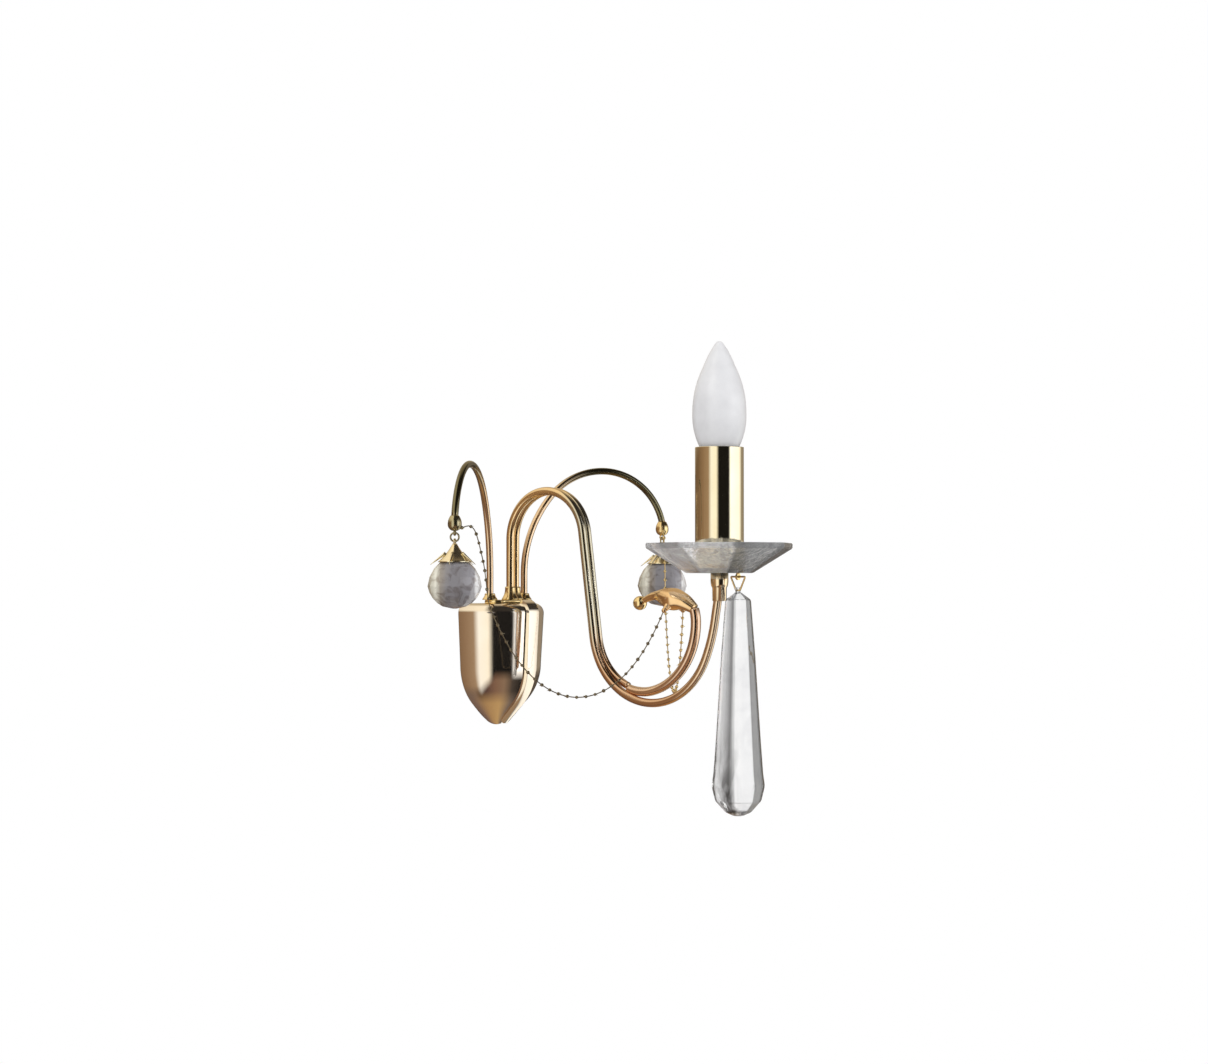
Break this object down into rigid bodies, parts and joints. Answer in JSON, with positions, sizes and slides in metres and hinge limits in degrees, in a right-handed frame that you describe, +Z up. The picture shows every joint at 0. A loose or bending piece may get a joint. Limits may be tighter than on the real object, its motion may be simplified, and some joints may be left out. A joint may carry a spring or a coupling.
{
  "type": "crystal wall sconce",
  "caption": "Wall light with a bullet-shaped polished body, a bent candle arm with a scroll, a faceted glass dish, a candle bulb and hanging crystals on two side arms.",
  "frame": {"origin": "middle of the wall bracket's back face, between the two wall screw holes", "axes": "+X to the right, +Y into the wall, +Z up; the light stands out from the wall towards -Y"},
  "size_m": [0.2504, 0.2501, 0.306],
  "materials": {
    "polished_brass": "polished, rose-gold tone",
    "gold_brass": "polished, yellow-gold tone",
    "aged_brass": "polished, darker",
    "steel": "zinc-plated",
    "block_plastic": "off-white",
    "holder_plastic": "off-white",
    "lead_sleeve": "brown",
    "earth_sleeve": "green and yellow",
    "lamp_cap_metal": "plain",
    "frosted_glass": "frosted",
    "clear_crystal": "clear, polished",
    "grey_crystal": "smoky, polished"
  },
  "bodies": {
    "fixture": {"body_shell": "polished_brass", "front_band": "gold_brass", "wall_bracket": "steel", "cover_screws": "steel", "earth_screw": "steel", "terminal_block": "block_plastic", "terminal_screws": "steel", "candle_arm": "polished_brass", "scroll_rod": "polished_brass", "arm_plate": "gold_brass", "left_arm_collar": "gold_brass", "right_arm_collar": "gold_brass", "cluster_collar": "gold_brass", "arm_nuts": "steel", "arm_washers": "steel", "scroll_band": "polished_brass", "scroll_leaf": "gold_brass", "scroll_ball": "gold_brass", "left_crystal_arm": "aged_brass", "left_tip_knob": "aged_brass", "right_crystal_arm": "aged_brass", "right_tip_knob": "gold_brass", "ferrule": "polished_brass", "nipple": "gold_brass", "drip_dish": "clear_crystal", "dish_washer": "gold_brass", "sleeve_seat": "gold_brass", "candle_sleeve": "polished_brass", "lamp_holder": "holder_plastic", "holder_nut": "steel", "holder_contact": "gold_brass", "drop_pin": "gold_brass", "arm_leads": "lead_sleeve", "earth_lead": "earth_sleeve", "left_garland": "aged_brass", "right_garland": "gold_brass"},
    "left_pendant": {"left_hanging_ring": "aged_brass", "left_calyx": "gold_brass", "left_crystal": "grey_crystal"},
    "right_pendant": {"right_hanging_ring": "aged_brass", "right_calyx": "gold_brass", "right_crystal": "grey_crystal"},
    "drop": {"drop_link": "gold_brass", "crystal_drop": "clear_crystal"},
    "bulb": {"bulb_cap": "lamp_cap_metal", "bulb_contact": "lamp_cap_metal", "bulb_glass": "frosted_glass"}
  },
  "joints": [
    {"name": "left_pendant_swing", "type": "hinge", "parent": "fixture", "child": "left_pendant", "pos_m": [-0.10762, -0.06797, 0.07272], "axis": [0.5, -0.866, 0], "range_deg": [-20, 20]},
    {"name": "right_pendant_swing", "type": "hinge", "parent": "fixture", "child": "right_pendant", "pos_m": [0.10762, -0.06797, 0.07272], "axis": [0.5, 0.866, 0], "range_deg": [-20, 20]},
    {"name": "drop_swing", "type": "hinge", "parent": "fixture", "child": "drop", "pos_m": [0, -0.2164, 0.0442], "axis": [0, 1, 0], "range_deg": [-20, 20]},
    {"name": "bulb_unscrew", "type": "hinge", "parent": "fixture", "child": "bulb", "pos_m": [0, -0.20144, 0.11], "axis": [0, 0, 1], "range_deg": [0, 360]}
  ]
}
